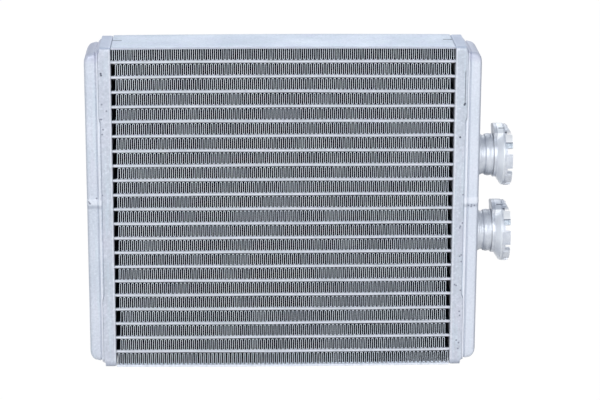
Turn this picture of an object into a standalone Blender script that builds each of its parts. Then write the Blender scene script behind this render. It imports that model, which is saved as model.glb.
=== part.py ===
"""Heater core: a brazed aluminium matrix of flat tubes and folded fins between two tanks.

Metres, +Z up. The core stands on its lower side plate. Air passes through it along Y, the
coolant ports point to +X, and the origin is the centre of the underside.
"""

import math

import bmesh
import bpy
from mathutils import Vector

# Clearance between neighbours that are brazed together
JOINT_GAP = 0.0003

# Distances below which points are one point
WELD_DISTANCE = 0.000001
SEAM_DISTANCE = 0.00001

# Core matrix
CORE_WIDTH = 0.2000
CORE_DEPTH = 0.0376
TUBE_COUNT = 21
TUBE_THICKNESS = 0.0019
TUBE_DEPTH = 0.0340
TUBE_WALL = 0.0004
TUBE_REACH = 0.0010
FIN_HEIGHT = 0.00698
FIN_NOSE_INSET = 0.0002
FIN_STOCK = 0.0003
FIN_WAVES = 16
FIN_END_SPACE = 0.0022
OUTER_FIN_END_SPACE = 0.0005

# Side plates
PLATE_THICKNESS = 0.0012
SLIT_LENGTH = 0.0056
SLIT_WIDTH = 0.0014
SLIT_SETBACK = 0.0030

# Header pans
HEADER_WALL = 0.0012
HEADER_BEND = 0.0014
HEADER_END_BEND = 0.0005
HEADER_END_INSET = 0.0004
HEADER_CORNER = 0.0022
HEADER_RIM = 0.0064
RIM_TAB_HEIGHT = 0.0009
RIM_TAB_LENGTH = 0.0410
RIM_TAB_END_SPACE = 0.0027

# Tank caps
CAP_WALL = 0.0012
CAP_RIDGE_WIDTH = 0.0010
CAP_RIDGE_INSET = 0.0001
CAP_RIDGE_END_INSET = 0.0025
CAP_VALLEY = 0.0010
CAP_SIDE_INSET = 0.0008
CAP_END_INSET = 0.0033
CAP_REACH = 0.0155
CAP_SIDE_ROUND = 0.0024
CAP_END_ROUND = 0.0056
CAP_CORNER = 0.0030
CAP_SIDE_STEPS = (0.5, 0.15)
CAP_INNER_STEP = 0.25
BEAD_HEIGHT = 0.0007
BEAD_WIDTH = 0.0044
BEAD_CREST = 0.0018

# Baffle that parts the inlet half of the right tank from its outlet half
BAFFLE_THICKNESS = 0.0015
BAFFLE_CHAMFER = 0.0012

# Ports
LOWER_PORT_HEIGHT = 0.0794
PORT_SPACING = 0.0469
NECK_BORE_RADIUS = 0.0096
NECK_WALL = 0.0014
NECK_REACH_IN = 0.0024
NECK_BASE_RADIUS = 0.0127
NECK_BASE_LENGTH = 0.0009
NECK_WAIST_RADIUS = 0.0117
NECK_BEAD_RADIUS = 0.0125
NECK_LENGTH = 0.0089
NECK_LIP_RADIUS = 0.0126
NECK_LIP_LENGTH = 0.0010
NECK_BENDS = 8
CROWN_RADIUS = 0.0183
CROWN_HUB_RADIUS = 0.0133
CROWN_HUB_LENGTH = 0.0019
CROWN_CONE_LENGTH = 0.0031
CROWN_WALL = 0.0032
CROWN_FLOOR = 0.0040
CROWN_LENGTH = 0.0104
TOOTH_COUNT = 9
NOTCH_ANGLE = 11.5
NOTCH_DEPTH = 0.0030
LUG_ANGLE = 68.0
LUG_LENGTH = 0.0062
LUG_RISE = 0.0004
LUG_FACETS = 4
LUG_SLANT = 0.0036
LUG_SLANT_FALL = 0.0042

# Fineness of round forms
NECK_STEPS = 16
CROWN_STEPS = 27
CORNER_SEGMENTS = 2
BEAD_SEGMENTS = 3
SHARP_ANGLE = 35.0

# Places worked out from the sizes
tube_pitch = TUBE_THICKNESS + FIN_HEIGHT
matrix_height = TUBE_COUNT * TUBE_THICKNESS + (TUBE_COUNT + 1) * FIN_HEIGHT
core_height = matrix_height + 2 * PLATE_THICKNESS
middle = Vector((0.0, 0.0, core_height / 2))
half_width = CORE_WIDTH / 2
half_depth = CORE_DEPTH / 2
header_end = core_height / 2 - HEADER_END_INSET
cap_face = half_width + CAP_REACH
header_floor = half_width + HEADER_WALL
header_rim = half_width + HEADER_RIM
tab_rim = header_rim + RIM_TAB_HEIGHT
cap_ledge = tab_rim + JOINT_GAP
skirt_side = half_depth - HEADER_WALL - JOINT_GAP
skirt_end = header_end - HEADER_WALL - JOINT_GAP
body_side = half_depth - CAP_SIDE_INSET
body_end = header_end - CAP_END_INSET
bead_level = tube_pitch / 2 * (TUBE_COUNT % 2)
upper_port_height = LOWER_PORT_HEIGHT + PORT_SPACING
quarter_turn = math.radians(90)


def clear_scene():
    """Remove every object of the file that is open."""
    for item in list(bpy.data.objects):
        bpy.data.objects.remove(item, do_unlink=True)


def new_collection(name):
    """Return a collection linked to the scene."""
    collection = bpy.data.collections.new(name)
    bpy.context.scene.collection.children.link(collection)
    return collection


def metal(name, colour, roughness, metallic):
    """Return a plain metal material."""
    material = bpy.data.materials.new(name)
    material.use_nodes = True
    shader = material.node_tree.nodes["Principled BSDF"]
    shader.inputs["Base Color"].default_value = (*colour, 1.0)
    shader.inputs["Roughness"].default_value = roughness
    shader.inputs["Metallic"].default_value = metallic
    return material


def add_object(name, mesh, collection, material=None, location=(0, 0, 0), rotation=(0, 0, 0)):
    """Link an object that shows a mesh, and give it its material."""
    item = bpy.data.objects.new(name, mesh)
    item.location = location
    item.rotation_euler = rotation
    if material is not None:
        mesh.materials.clear()
        mesh.materials.append(material)
    collection.objects.link(item)
    return item


def evaluated_mesh(item):
    """Return the mesh of an object with its modifiers applied and its seams welded."""
    bpy.context.view_layer.update()
    graph = bpy.context.evaluated_depsgraph_get()
    mesh = bpy.data.meshes.new_from_object(item.evaluated_get(graph))
    work = bmesh.new()
    work.from_mesh(mesh)
    bmesh.ops.remove_doubles(work, verts=work.verts, dist=WELD_DISTANCE)
    work.to_mesh(mesh)
    work.free()
    return mesh


def settle(item):
    """Return the finished mesh of a building stage, and remove the stage."""
    mesh = evaluated_mesh(item)
    bpy.data.objects.remove(item, do_unlink=True)
    return mesh


def prism_mesh(name, outlines, depth):
    """Return flat outlines, the first with the others as holes, thickened along their normal."""
    curve = bpy.data.curves.new(name, "CURVE")
    curve.dimensions = "2D"
    curve.fill_mode = "BOTH"
    curve.extrude = depth / 2
    for outline in outlines:
        spline = curve.splines.new("POLY")
        spline.points.add(len(outline) - 1)
        for point, (across, up) in zip(spline.points, outline):
            point.co = (across, up, 0.0, 1.0)
        spline.use_cyclic_u = True
    item = bpy.data.objects.new(name, curve)
    bpy.context.scene.collection.objects.link(item)
    mesh = evaluated_mesh(item)
    mesh.name = name
    bpy.data.objects.remove(item, do_unlink=True)
    return mesh


def loft_mesh(name, rings):
    """Return a closed skin through rings with the same number of points, flat at both ends."""
    work = bmesh.new()
    loops = [[work.verts.new(point) for point in ring] for ring in rings]
    for first, second in zip(loops, loops[1:]):
        for index, corner in enumerate(first):
            following = (index + 1) % len(first)
            work.faces.new((corner, first[following], second[following], second[index]))
    work.faces.new(list(reversed(loops[0])))
    work.faces.new(loops[-1])
    bmesh.ops.recalc_face_normals(work, faces=work.faces)
    mesh = bpy.data.meshes.new(name)
    work.to_mesh(mesh)
    work.free()
    return mesh


def rounded_ring(reach, side, end, corner):
    """Return a rounded rectangle across X at a reach from the middle of the core."""
    points = []
    for quarter in range(4):
        sign_y = (1, -1, -1, 1)[quarter]
        sign_z = (1, 1, -1, -1)[quarter]
        for step in range(CORNER_SEGMENTS + 1):
            angle = quarter_turn * (quarter + step / CORNER_SEGMENTS)
            points.append((
                reach,
                sign_y * (side - corner) + corner * math.cos(angle),
                sign_z * (end - corner) + corner * math.sin(angle),
            ))
    return points


def turned(name, profile, steps, collection, location, material=None):
    """Turn a closed profile of (place along the axis, radius) around an axis along X."""
    mesh = bpy.data.meshes.new(name)
    points = [(radius, 0.0, along) for along, radius in profile]
    edges = [(index, (index + 1) % len(points)) for index in range(len(points))]
    mesh.from_pydata(points, edges, [])
    item = add_object(name, mesh, collection, material, location, (0, quarter_turn, 0))
    screw = item.modifiers.new("Turn", "SCREW")
    screw.steps = steps
    screw.render_steps = steps
    screw.use_merge_vertices = True
    screw.merge_threshold = SEAM_DISTANCE
    return item


def cut(target, cutter, operation="DIFFERENCE"):
    """Cut a hidden object out of a target, or join it on."""
    cutter.hide_render = True
    cutter.display_type = "WIRE"
    boolean = target.modifiers.new(cutter.name, "BOOLEAN")
    boolean.operation = operation
    boolean.solver = "EXACT"
    boolean.object = cutter


def take_new(name, collection):
    """Name the primitive that was just made and move it to a collection."""
    item = bpy.context.object
    item.name = name
    for other in list(item.users_collection):
        other.objects.unlink(item)
    collection.objects.link(item)
    return item


def box_cutter(name, low, high, collection):
    """Return a box between two corners."""
    bpy.ops.mesh.primitive_cube_add(size=1.0)
    item = take_new(name, collection)
    low, high = Vector(low), Vector(high)
    item.location = (low + high) / 2
    item.scale = high - low
    return item


def flat_tube_outline(grow):
    """Return the section of a flat tube, with its pointed noses, grown on every side."""
    thick = TUBE_THICKNESS / 2 + grow
    nose = TUBE_DEPTH / 2 + grow
    shoulder = nose - thick
    return [
        (nose, 0), (shoulder, thick), (-shoulder, thick),
        (-nose, 0), (-shoulder, -thick), (shoulder, -thick),
    ]


def tube_level(index):
    """Return the height of the middle of a tube, counted from the lowest."""
    return PLATE_THICKNESS + FIN_HEIGHT + TUBE_THICKNESS / 2 + index * tube_pitch


def make_tubes(collection, material):
    """Make the flat tubes, open at both ends, that carry the coolant from tank to tank."""
    length = 2 * (header_floor + TUBE_REACH)
    mesh = prism_mesh("flat_tube", [flat_tube_outline(0), flat_tube_outline(-TUBE_WALL)], length)
    for index in range(TUBE_COUNT):
        add_object(f"tube_{index + 1:02d}", mesh, collection, material,
                   (0, 0, tube_level(index)), (quarter_turn, 0, quarter_turn))


def fin_outline(end_space):
    """Return a strip folded into sharp waves, as one closed outline around its stock."""
    reach = half_width - end_space
    height = FIN_HEIGHT - 2 * JOINT_GAP
    leg = reach / FIN_WAVES
    slant = math.sqrt(leg ** 2 + height ** 2 - FIN_STOCK ** 2)
    upright = FIN_STOCK * (leg * slant - FIN_STOCK * height) / (leg ** 2 - FIN_STOCK ** 2)
    crest = (height - upright) / 2
    folds = [(-reach + index * leg, crest if index % 2 else -crest) for index in range(2 * FIN_WAVES + 1)]
    upper = [(across, level + upright / 2) for across, level in folds]
    lower = [(across, level - upright / 2) for across, level in reversed(folds)]
    return upper + lower


def make_fins(collection, material):
    """Make the folded fin strips, one under each tube and one over the topmost.

    The lowest and the topmost strip lie against a side plate and reach closer to the headers.
    """
    depth = TUBE_DEPTH - 2 * FIN_NOSE_INSET
    inner = prism_mesh("folded_fin", [fin_outline(FIN_END_SPACE)], depth)
    outer = prism_mesh("outer_folded_fin", [fin_outline(OUTER_FIN_END_SPACE)], depth)
    for index in range(TUBE_COUNT + 1):
        level = PLATE_THICKNESS + FIN_HEIGHT / 2 + index * tube_pitch
        mesh = outer if index in (0, TUBE_COUNT) else inner
        add_object(f"fin_{index + 1:02d}", mesh, collection, material,
                   (0, 0, level), (quarter_turn, 0, 0))


def make_side_plates(collection, material):
    """Make the plates that close the matrix below and above, each slit at its two ends."""
    end = half_width - JOINT_GAP
    near, far = SLIT_SETBACK - SLIT_WIDTH / 2, SLIT_SETBACK + SLIT_WIDTH / 2
    root = end - SLIT_LENGTH
    outline = [
        (end, -half_depth), (end, near), (root, near), (root, far), (end, far), (end, half_depth),
        (-end, half_depth), (-end, far), (-root, far), (-root, near), (-end, near), (-end, -half_depth),
    ]
    mesh = prism_mesh("side_plate", [outline], PLATE_THICKNESS)
    add_object("bottom_side_plate", mesh, collection, material, (0, 0, PLATE_THICKNESS / 2))
    add_object("top_side_plate", mesh, collection, material, (0, 0, core_height - PLATE_THICKNESS / 2))


def header_mesh(cutters):
    """Return the right header: a shallow pan with a slot for each tube and tabs on its side rims."""
    side, end = half_depth, header_end
    half_bend = 1 - math.sqrt(0.5)
    inner_corner = HEADER_CORNER - HEADER_WALL
    smallest = inner_corner / 2
    rings = [
        rounded_ring(header_floor, side - HEADER_BEND, end - HEADER_BEND, smallest),
        rounded_ring(half_width + HEADER_BEND, side - HEADER_WALL, end - HEADER_WALL, inner_corner),
        rounded_ring(tab_rim, side - HEADER_WALL, end - HEADER_WALL, inner_corner),
        rounded_ring(tab_rim, side, end, HEADER_CORNER),
        rounded_ring(half_width + HEADER_BEND, side, end, HEADER_CORNER),
        rounded_ring(half_width + HEADER_BEND * half_bend, side - HEADER_BEND * half_bend,
                     end - HEADER_END_BEND * half_bend, HEADER_CORNER - HEADER_BEND * half_bend),
        rounded_ring(half_width, side - HEADER_BEND, end - HEADER_END_BEND, smallest),
    ]
    pan = add_object("header_pan", loft_mesh("header_pan", rings), cutters, None, middle)

    slot = prism_mesh("tube_slot", [flat_tube_outline(JOINT_GAP)], 4 * HEADER_WALL)
    slots = add_object("tube_slots", slot, cutters, None,
                       (half_width + HEADER_WALL / 2, 0, tube_level(0)), (quarter_turn, 0, quarter_turn))
    array = slots.modifiers.new("Repeat", "ARRAY")
    array.count = TUBE_COUNT
    array.use_relative_offset = False
    array.use_constant_offset = True
    array.constant_offset_displace = (0, tube_pitch, 0)
    cut(pan, slots)

    tab_top = end - RIM_TAB_END_SPACE
    tab_foot = tab_top - RIM_TAB_LENGTH
    spans = (
        ("rim_foot", -end - side, -tab_top),
        ("rim_middle", -tab_foot, tab_foot),
        ("rim_top", tab_top, end + side),
    )
    for name, low, high in spans:
        cut(pan, box_cutter(name, (header_rim, -CORE_DEPTH, middle.z + low),
                            (tab_rim + side, CORE_DEPTH, middle.z + high), cutters))
    return settle(pan)


def body_section(reach, inset):
    """Return the cap's half width, half height and corner at a reach, set in from its skin."""
    face = cap_face - inset
    side_round = CAP_SIDE_ROUND - inset
    end_round = CAP_END_ROUND - inset
    into_side = max(0.0, reach - (face - side_round))
    into_end = max(0.0, reach - (face - end_round))
    side = body_side - inset - side_round + math.sqrt(max(side_round ** 2 - into_side ** 2, 0.0))
    end = body_end - inset - end_round + math.sqrt(max(end_round ** 2 - into_end ** 2, 0.0))
    return side, end, CAP_CORNER - inset


def cap_mesh(cutters):
    """Return the right cap: a drawn shell with a skirt, a ridge, rounded ends and a cross bead."""
    valley = cap_ledge + CAP_RIDGE_WIDTH + CAP_VALLEY
    skirt_foot = header_floor + TUBE_REACH + JOINT_GAP
    inner_face = cap_face - CAP_WALL
    inner_steps = [
        inner_face, inner_face - CAP_INNER_STEP * CAP_SIDE_ROUND, inner_face - CAP_END_ROUND, valley,
    ]
    outer_steps = [valley, cap_face - CAP_END_ROUND, cap_face - CAP_SIDE_ROUND]
    outer_steps += [cap_face - step * CAP_SIDE_ROUND for step in CAP_SIDE_STEPS]
    outer_steps.append(cap_face)
    rings = [rounded_ring(reach, *body_section(reach, CAP_WALL)) for reach in inner_steps]
    skirt_corner = CAP_CORNER - CAP_WALL
    rings += [
        rounded_ring(cap_ledge, skirt_side - CAP_WALL, skirt_end - CAP_WALL, skirt_corner),
        rounded_ring(skirt_foot, skirt_side - CAP_WALL, skirt_end - CAP_WALL, skirt_corner),
        rounded_ring(skirt_foot, skirt_side, skirt_end, CAP_CORNER),
        rounded_ring(cap_ledge, skirt_side, skirt_end, CAP_CORNER),
    ]
    for reach in (cap_ledge, cap_ledge + CAP_RIDGE_WIDTH):
        rings.append(rounded_ring(reach, half_depth - CAP_RIDGE_INSET,
                                  header_end - CAP_RIDGE_END_INSET, CAP_CORNER))
    rings += [rounded_ring(reach, *body_section(reach, 0.0)) for reach in outer_steps]
    cap = add_object("tank_cap", loft_mesh("tank_cap", rings), cutters, None, middle)
    cut(cap, make_bead(cutters), "UNION")
    return cap


def bead_ring(level, rise):
    """Return the outline of the band that crosses the cap, raised from its skin by a rise."""
    foot = cap_ledge + CAP_RIDGE_WIDTH / 2
    face = cap_face + rise
    side = body_side + rise
    corner = CAP_SIDE_ROUND + rise
    buried = CAP_WALL / 2
    points = [(foot, side, level)]
    for step in range(BEAD_SEGMENTS + 1):
        angle = quarter_turn * (1 - step / BEAD_SEGMENTS)
        points.append((face - corner + corner * math.cos(angle),
                       side - corner + corner * math.sin(angle), level))
    points += [(across, -deep, level) for across, deep, level in reversed(points)]
    inner_side = body_side - buried
    inner_face = cap_face - buried - CAP_SIDE_ROUND / 4
    inner_flat = inner_side - CAP_SIDE_ROUND / 2
    points += [
        (foot, -inner_side, level), (inner_face, -inner_flat, level),
        (inner_face, inner_flat, level), (foot, inner_side, level),
    ]
    return points


def make_bead(cutters):
    """Return the raised band, half as high as the pitch of the tubes above the middle."""
    half, crest = BEAD_WIDTH / 2, BEAD_CREST / 2
    buried = -CAP_WALL / 4
    levels = ((-half, buried), (-crest, BEAD_HEIGHT), (crest, BEAD_HEIGHT), (half, buried))
    rings = [bead_ring(bead_level + level, rise) for level, rise in levels]
    return add_object("cross_bead", loft_mesh("cross_bead", rings), cutters, None, middle)


def make_tanks(collection, cutters, material):
    """Make both headers and both caps; only the right cap has holes for the ports."""
    header = header_mesh(cutters)
    add_object("right_header", header, collection, material, middle)
    add_object("left_header", header, collection, material, middle, (0, 0, 2 * quarter_turn))

    cap = cap_mesh(cutters)
    plain = evaluated_mesh(cap)
    add_object("left_tank_cap", plain, collection, material, middle, (0, 0, 2 * quarter_turn))

    for name, height in (("upper_port_hole", upper_port_height), ("lower_port_hole", LOWER_PORT_HEIGHT)):
        bpy.ops.mesh.primitive_cylinder_add(
            vertices=NECK_STEPS, radius=NECK_BORE_RADIUS + NECK_WALL + 2 * JOINT_GAP,
            depth=4 * CAP_REACH, location=(cap_face + CAP_REACH, 0, height), rotation=(0, quarter_turn, 0))
        cut(cap, take_new(name, cutters))
    add_object("right_tank_cap", settle(cap), collection, material, middle)


def make_baffle(collection, material):
    """Make the plate across the right tank, between two tubes and behind the cross bead."""
    foot = header_floor + JOINT_GAP
    face = cap_face - CAP_WALL - JOINT_GAP
    side = skirt_side - CAP_WALL - JOINT_GAP
    slope = face - BAFFLE_CHAMFER
    narrow = side - BAFFLE_CHAMFER
    outline = [(foot, -side), (slope, -side), (face, -narrow), (face, narrow), (slope, side), (foot, side)]
    mesh = prism_mesh("baffle", [outline], BAFFLE_THICKNESS)
    add_object("tank_baffle", mesh, collection, material, middle + Vector((0, 0, bead_level)))


def neck_profile():
    """Return the neck's section: spigot, base collar, waist, bead, sleeve and rolled lip."""
    sleeve = NECK_BORE_RADIUS + NECK_WALL
    start = JOINT_GAP
    base = start + NECK_BASE_LENGTH
    bend = (NECK_LENGTH - base) / NECK_BENDS
    sleeve_end = NECK_LENGTH + CROWN_FLOOR + 2 * JOINT_GAP
    return [
        (sleeve_end + NECK_LIP_LENGTH, NECK_BORE_RADIUS),
        (sleeve_end + NECK_LIP_LENGTH, NECK_LIP_RADIUS),
        (sleeve_end, NECK_LIP_RADIUS),
        (sleeve_end, sleeve),
        (NECK_LENGTH, sleeve),
        (NECK_LENGTH - bend, NECK_BEAD_RADIUS),
        (NECK_LENGTH - 3 * bend, NECK_BEAD_RADIUS),
        (NECK_LENGTH - 4 * bend, NECK_WAIST_RADIUS),
        (NECK_LENGTH - 5 * bend, NECK_WAIST_RADIUS),
        (base, NECK_BASE_RADIUS),
        (start, NECK_BASE_RADIUS),
        (start, sleeve),
        (-NECK_REACH_IN, sleeve),
        (-NECK_REACH_IN, NECK_BORE_RADIUS),
    ]


def crown_profile():
    """Return the crown's section: a hub and a cone, a floor round the sleeve, and a socket."""
    bore = NECK_BORE_RADIUS + NECK_WALL + JOINT_GAP
    socket = CROWN_RADIUS - CROWN_WALL
    return [
        (CROWN_LENGTH, socket),
        (CROWN_LENGTH, CROWN_RADIUS),
        (CROWN_HUB_LENGTH + CROWN_CONE_LENGTH, CROWN_RADIUS),
        (CROWN_HUB_LENGTH, CROWN_HUB_RADIUS),
        (0.0, CROWN_HUB_RADIUS),
        (0.0, bore),
        (CROWN_FLOOR, bore),
        (CROWN_FLOOR, socket),
    ]


def sector_mesh(name, low, high, inner, outer, facets, depth):
    """Return a slice of a ring between two angles in degrees, thickened along its axis."""
    angles = [math.radians(low + (high - low) * step / facets) for step in range(facets + 1)]
    outline = [(outer * math.cos(angle), outer * math.sin(angle)) for angle in angles]
    outline += [(inner * math.cos(angle), inner * math.sin(angle)) for angle in reversed(angles)]
    return prism_mesh(name, [outline], depth)


def make_crown(name, height, collection, cutters, material):
    """Make the ring with square teeth that a coupling turns into, with a keying lug on top."""
    back = cap_face + NECK_LENGTH + JOINT_GAP
    crown = turned(name, crown_profile(), CROWN_STEPS, collection, (back, 0, height), material)
    facing = (quarter_turn, 0, quarter_turn)

    in_hub = (NECK_BORE_RADIUS + NECK_WALL + CROWN_HUB_RADIUS) / 2
    in_wall = CROWN_RADIUS - CROWN_WALL + JOINT_GAP
    mid_cone = CROWN_HUB_LENGTH + CROWN_CONE_LENGTH / 2
    for part, inner, length in (("lug_root", in_hub, mid_cone), ("lug", in_wall, LUG_LENGTH)):
        lug_mesh = sector_mesh(f"{name}_{part}", 90 - LUG_ANGLE / 2, 90 + LUG_ANGLE / 2,
                               inner, CROWN_RADIUS + LUG_RISE, LUG_FACETS, length)
        lug = add_object(lug_mesh.name, lug_mesh, cutters, None, (back + length / 2, 0, height), facing)
        cut(crown, lug, "UNION")

    notch_reach = back + CROWN_LENGTH
    for index in range(TOOTH_COUNT):
        turn = 360.0 / TOOTH_COUNT * (index + 0.5) + 180.0
        notch_mesh = sector_mesh(f"{name}_notch_{index}", turn - NOTCH_ANGLE / 2, turn + NOTCH_ANGLE / 2,
                                 CROWN_RADIUS - 2 * CROWN_WALL, 2 * CROWN_RADIUS, 1, 2 * NOTCH_DEPTH)
        notch = add_object(notch_mesh.name, notch_mesh, cutters, None, (notch_reach, 0, height), facing)
        cut(crown, notch)

    top = CROWN_RADIUS + LUG_RISE
    slant = [
        (notch_reach - LUG_SLANT, top), (notch_reach, top - LUG_SLANT_FALL),
        (notch_reach + LUG_SLANT, top - LUG_SLANT_FALL), (notch_reach + LUG_SLANT, top + LUG_SLANT_FALL),
        (notch_reach - LUG_SLANT, top + LUG_SLANT_FALL),
    ]
    slant_mesh = prism_mesh(name + "_slant", [slant], 4 * CROWN_RADIUS)
    cut(crown, add_object(name + "_slant", slant_mesh, cutters, None, (0, 0, height), (quarter_turn, 0, 0)))


def make_ports(collection, cutters, metal_of_ports):
    """Make the two necks and the two toothed crowns that sit on them."""
    for side, height in (("upper", upper_port_height), ("lower", LOWER_PORT_HEIGHT)):
        turned(f"{side}_port_neck", neck_profile(), NECK_STEPS, collection,
               (cap_face, 0, height), metal_of_ports)
        make_crown(f"{side}_port_crown", height, collection, cutters, metal_of_ports)


def shade(collection):
    """Shade round surfaces smooth and keep their edges sharp."""
    for item in collection.objects:
        item.data.shade_smooth()
        item.data.set_sharp_from_angle(angle=math.radians(SHARP_ANGLE))


def main():
    """Build the heater core."""
    clear_scene()
    core = new_collection("heater_core")
    cutters = new_collection("cutters")
    sheet = metal("brazed_sheet", (0.60, 0.64, 0.71), 0.45, 0.85)
    drawn = metal("drawn_tank", (0.62, 0.66, 0.74), 0.42, 0.85)
    foil = metal("fin_foil", (0.52, 0.56, 0.62), 0.40, 0.90)
    machined = metal("port_metal", (0.66, 0.69, 0.74), 0.35, 0.90)
    make_tubes(core, sheet)
    make_fins(core, foil)
    make_side_plates(core, sheet)
    make_tanks(core, cutters, drawn)
    make_baffle(core, sheet)
    make_ports(core, cutters, machined)
    shade(core)


main()
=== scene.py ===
"""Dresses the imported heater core: folded fins, flat tubes, drawn tanks and turned ports.

Metres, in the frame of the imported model: X along the tubes, Y along the air, Z up. Every new
piece is worked out as whole arrays, and its place is in its mesh.
"""

import math

import bmesh
import bpy
import numpy as np
from mathutils import Matrix, Vector


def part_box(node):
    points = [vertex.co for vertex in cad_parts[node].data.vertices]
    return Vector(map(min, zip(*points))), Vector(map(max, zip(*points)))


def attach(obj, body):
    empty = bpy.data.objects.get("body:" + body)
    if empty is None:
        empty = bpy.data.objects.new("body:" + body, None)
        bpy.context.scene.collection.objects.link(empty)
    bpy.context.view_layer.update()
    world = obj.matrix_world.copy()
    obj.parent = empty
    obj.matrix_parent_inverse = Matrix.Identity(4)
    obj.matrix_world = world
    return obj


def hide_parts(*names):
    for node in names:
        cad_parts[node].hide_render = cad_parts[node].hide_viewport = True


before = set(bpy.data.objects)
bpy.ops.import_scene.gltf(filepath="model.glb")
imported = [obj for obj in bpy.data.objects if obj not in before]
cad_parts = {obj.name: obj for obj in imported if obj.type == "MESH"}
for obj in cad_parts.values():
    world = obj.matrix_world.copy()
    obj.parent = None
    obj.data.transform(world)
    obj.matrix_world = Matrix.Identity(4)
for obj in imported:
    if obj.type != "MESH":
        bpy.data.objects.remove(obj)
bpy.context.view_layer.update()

# Core
HALF_WIDTH = 0.1
HALF_DEPTH = 0.0188
TUBE_COUNT = 21
TUBE_WALL = 0.0004
TUBE_REACH = 0.0010
TUBE_STATIONS = 57
TUBE_TURNS = (1.0, 2.3, 5.1)
TUBE_SWING = (0.00007, 0.00005, 0.00002)
SLOT_CLEARANCE = 0.00012
SLOT_START = HALF_WIDTH - 0.002
SLOT_END = HALF_WIDTH + 0.0035
BOW = 0.0004

# Folded fins
FIN_STOCK = 0.00024
LEG_STOCK_SHARE = 0.92
CREST_STOCK_GAIN = 0.25
FIN_REACH = 0.00024
FIN_WAVES = 82
FOLD_SWAY = 0.00004
FOLD_DRIFT = 0.00025
DRIFT_KNOTS = 12
FOLD_DRAW = 1.0
CREST_POINTS = 4
CREST_BEND = 0.47
CREST_RISE = 0.17

# Side plates
SLIT_LENGTH = 0.0056
SLIT_WIDTH = 0.0014
SLIT_SETBACK = 0.0030
EDGE_SPARE = 0.00001
PLATE_WAVE = 0.00003
PLATE_STOCK_SHARE = 0.94
PLATE_EDGE = 0.0002

# Headers
HEADER_WALL = 0.0012
HEADER_BEND = 0.0014
HEADER_END_BEND = 0.0005
HEADER_CORNER = 0.0022
HEADER_RIM = 0.0064
RIM_EDGE = 0.0002
PAN_FILLET = 0.0012
PAN_MIDDLE = 0.0010
PAN_MIDDLE_CORNER = 0.0005
TAB_HEIGHT = 0.0009
TAB_LENGTH = 0.0410
TAB_END_SPACE = 0.0027
TAB_SLOPE = 0.0004
TAB_RISE_START = 0.0022
TAB_RISE_LENGTH = 0.0018
HEADER_WAVES = ((0.07, 0.00004), (0.023, 0.00002))

# Tank caps
JOINT_GAP = 0.0003
BRAZE_GAP = 0.00006
CAP_WALL = 0.0012
RIDGE_WIDTH = 0.0010
RIDGE_INSET = 0.0001
RIDGE_END_INSET = 0.0025
VALLEY_WIDTH = 0.0010
CAP_SIDE_INSET = 0.0008
CAP_END_INSET = 0.0033
CAP_REACH = 0.0155
CAP_SIDE_ROUND = 0.0024
CAP_END_ROUND = 0.0056
CAP_CORNER = 0.0030
CAP_INNER_CORNER = 0.0018
VALLEY_DIP = 0.0002
BEAD_HEIGHT = 0.0007
BEAD_HALF_WIDTH = 0.0024
BEAD_FACE_SHARE = 0.3
CAP_WAVES = ((0.055, 0.00005), (0.019, 0.00003), (0.31, 0.00006))

# Ports
TURN_POINTS = 72
BORE_RADIUS = 0.0096
NECK_WALL = 0.0014
NECK_REACH_IN = 0.0024
NECK_LENGTH = 0.0089
CROWN_RADIUS = 0.0183
CROWN_HUB_RADIUS = 0.0133
CROWN_HUB_LENGTH = 0.0019
CROWN_CONE_LENGTH = 0.0031
CROWN_WALL = 0.0032
CROWN_FLOOR = 0.0040
CROWN_LENGTH = 0.0104
TOOTH_COUNT = 9
TOOTH_PITCH = 360.0 / TOOTH_COUNT
NOTCH_ANGLE = 11.5
NOTCH_DEPTH = 0.0030
LUG_ANGLE = 68.0
LUG_RISE = 0.0004
LUG_LENGTH = 0.0062
LUG_SLANT = 0.0036
LUG_SLANT_FALL = 0.0042
STEP_ANGLE = 55.0
STEP_DEPTH = 0.0012
STEP_START = 0.0012
STEP_STOP = 0.0009
SIDE_STEP_DEPTH = 0.0005
UPPER_PAIR = (50, 20)
SIDE_PAIR = (90, 16)
TOOTH_MARGIN = 2.85
CREASE = 0.0003
CROWN_EDGE = 0.00022
HOLE_REACH = 0.004

# Light and camera: the camera's place is measured from the middle of the core
AIR_LEVEL = 0.85
BACKDROP_GLOW = 1.04
FLOOR_RADIUS = 9
FLOOR_POINTS = 64
FLOOR_SPACE = 0.0002
CAMERA_PLACE = (-0.03121, -1.28061, 0.36108)
CAMERA_TURN = -1.8605
CAMERA_TILT = 15.7108
CAMERA_ROLL = 0.1846
SENSOR_WIDTH = 36.0
LENS = 133.688
PICTURE_WIDTH = 600

# Finish
SHARP_ANGLE = 38
NOISE_ROUGHNESS = 0.55

low_corner, high_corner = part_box("left_header")
middle = (low_corner.z + high_corner.z) / 2
half_height = (high_corner.z - low_corner.z) / 2
cap_face = HALF_WIDTH + CAP_REACH
tab_rim = HALF_WIDTH + HEADER_RIM + TAB_HEIGHT
cap_ledge = tab_rim + BRAZE_GAP
first_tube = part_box("tube_01")
second_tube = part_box("tube_02")
bead_level = (second_tube[0].z - first_tube[0].z) / 2
bead_middle = middle + bead_level
matrix_face = first_tube[1].y
crown_start = cap_face + NECK_LENGTH + JOINT_GAP


# Mesh helpers

def grid_faces(rows, columns, close_rows, close_columns):
    """Quads between neighbours of a grid; a closed side joins its last line to its first."""
    row = np.arange(rows if close_rows else rows - 1)
    column = np.arange(columns if close_columns else columns - 1)
    row, column = np.meshgrid(row, column, indexing="ij")
    next_row, next_column = (row + 1) % rows, (column + 1) % columns
    corners = (row * columns + column, row * columns + next_column,
               next_row * columns + next_column, next_row * columns + column)
    return np.stack(corners, axis=-1).reshape(-1, 4)


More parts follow.
